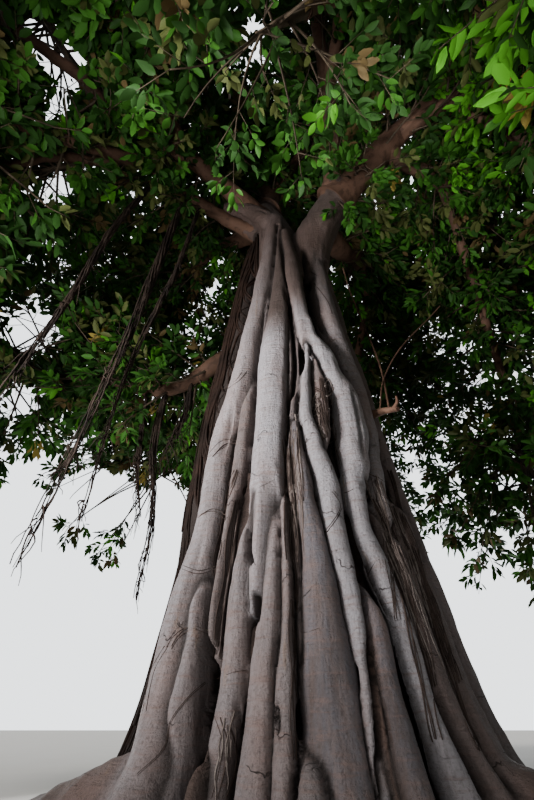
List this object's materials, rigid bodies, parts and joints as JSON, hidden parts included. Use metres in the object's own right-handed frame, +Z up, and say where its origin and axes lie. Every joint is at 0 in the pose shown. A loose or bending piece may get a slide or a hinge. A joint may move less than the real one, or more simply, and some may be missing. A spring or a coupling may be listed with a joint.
{
  "type": "moreton bay fig",
  "caption": "Large spreading fig tree with a fluted, flared trunk, heavy boughs, hanging aerial roots and masses of broad evergreen leaves.",
  "frame": {"origin": "on the ground at the middle of the trunk's flat cut", "axes": "+Z up along the trunk, -Y towards the side that the picture shows, +X to its right"},
  "size_m": [25.5792, 24.7575, 22.4356],
  "materials": {
    "trunk_bark": "pale grey bark, matt",
    "bough_bark": "reddish brown bark, matt",
    "root_bark": "dark fibrous roots, matt",
    "foliage": "glossy dark green leaves"
  },
  "bodies": {
    "root": {"aerial_root_left_inner": "root_bark", "aerial_root_left_middle": "root_bark", "aerial_root_left_outer": "root_bark", "aerial_root_low_elbow": "root_bark", "aerial_root_low_thick": "root_bark", "aerial_root_low_thin": "root_bark", "bough_back": "bough_bark", "bough_back_left": "bough_bark", "bough_back_right": "bough_bark", "bough_back_shoulder": "bough_bark", "bough_back_skirt": "bough_bark", "bough_front": "bough_bark", "bough_front_left": "bough_bark", "bough_front_left_skirt": "bough_bark", "bough_front_low": "bough_bark", "bough_front_right": "bough_bark", "bough_front_right_skirt": "bough_bark", "bough_front_shoulder": "bough_bark", "bough_front_skirt": "bough_bark", "bough_leader": "bough_bark", "bough_left": "bough_bark", "bough_left_back": "bough_bark", "bough_left_front": "bough_bark", "bough_left_low": "bough_bark", "bough_left_skirt": "bough_bark", "bough_right": "bough_bark", "bough_right_back": "bough_bark", "bough_right_back_skirt": "bough_bark", "bough_right_front": "bough_bark", "bough_right_skirt": "bough_bark", "bough_top_left": "bough_bark", "bough_top_right": "bough_bark", "foliage_front_low": "foliage", "foliage_shoulder_1": "foliage", "foliage_shoulder_2": "foliage", "foliage_shoulder_3": "foliage", "foliage_shoulder_4": "foliage", "foliage_shoulder_5": "foliage", "foliage_shoulder_6": "foliage", "foliage_shoulder_7": "foliage", "foliage_shoulder_8": "foliage", "foliage_skirt_1": "foliage", "foliage_skirt_2": "foliage", "foliage_skirt_3": "foliage", "foliage_skirt_4": "foliage", "foliage_skirt_5": "foliage", "foliage_skirt_6": "foliage", "foliage_skirt_7": "foliage", "foliage_skirt_8": "foliage", "foliage_top_1": "foliage", "foliage_top_2": "foliage", "foliage_top_3": "foliage", "foliage_upper_1": "foliage", "foliage_upper_2": "foliage", "foliage_upper_3": "foliage", "foliage_upper_4": "foliage", "foliage_upper_5": "foliage", "foliage_upper_6": "foliage", "trunk": "trunk_bark"}
  },
  "joints": []
}
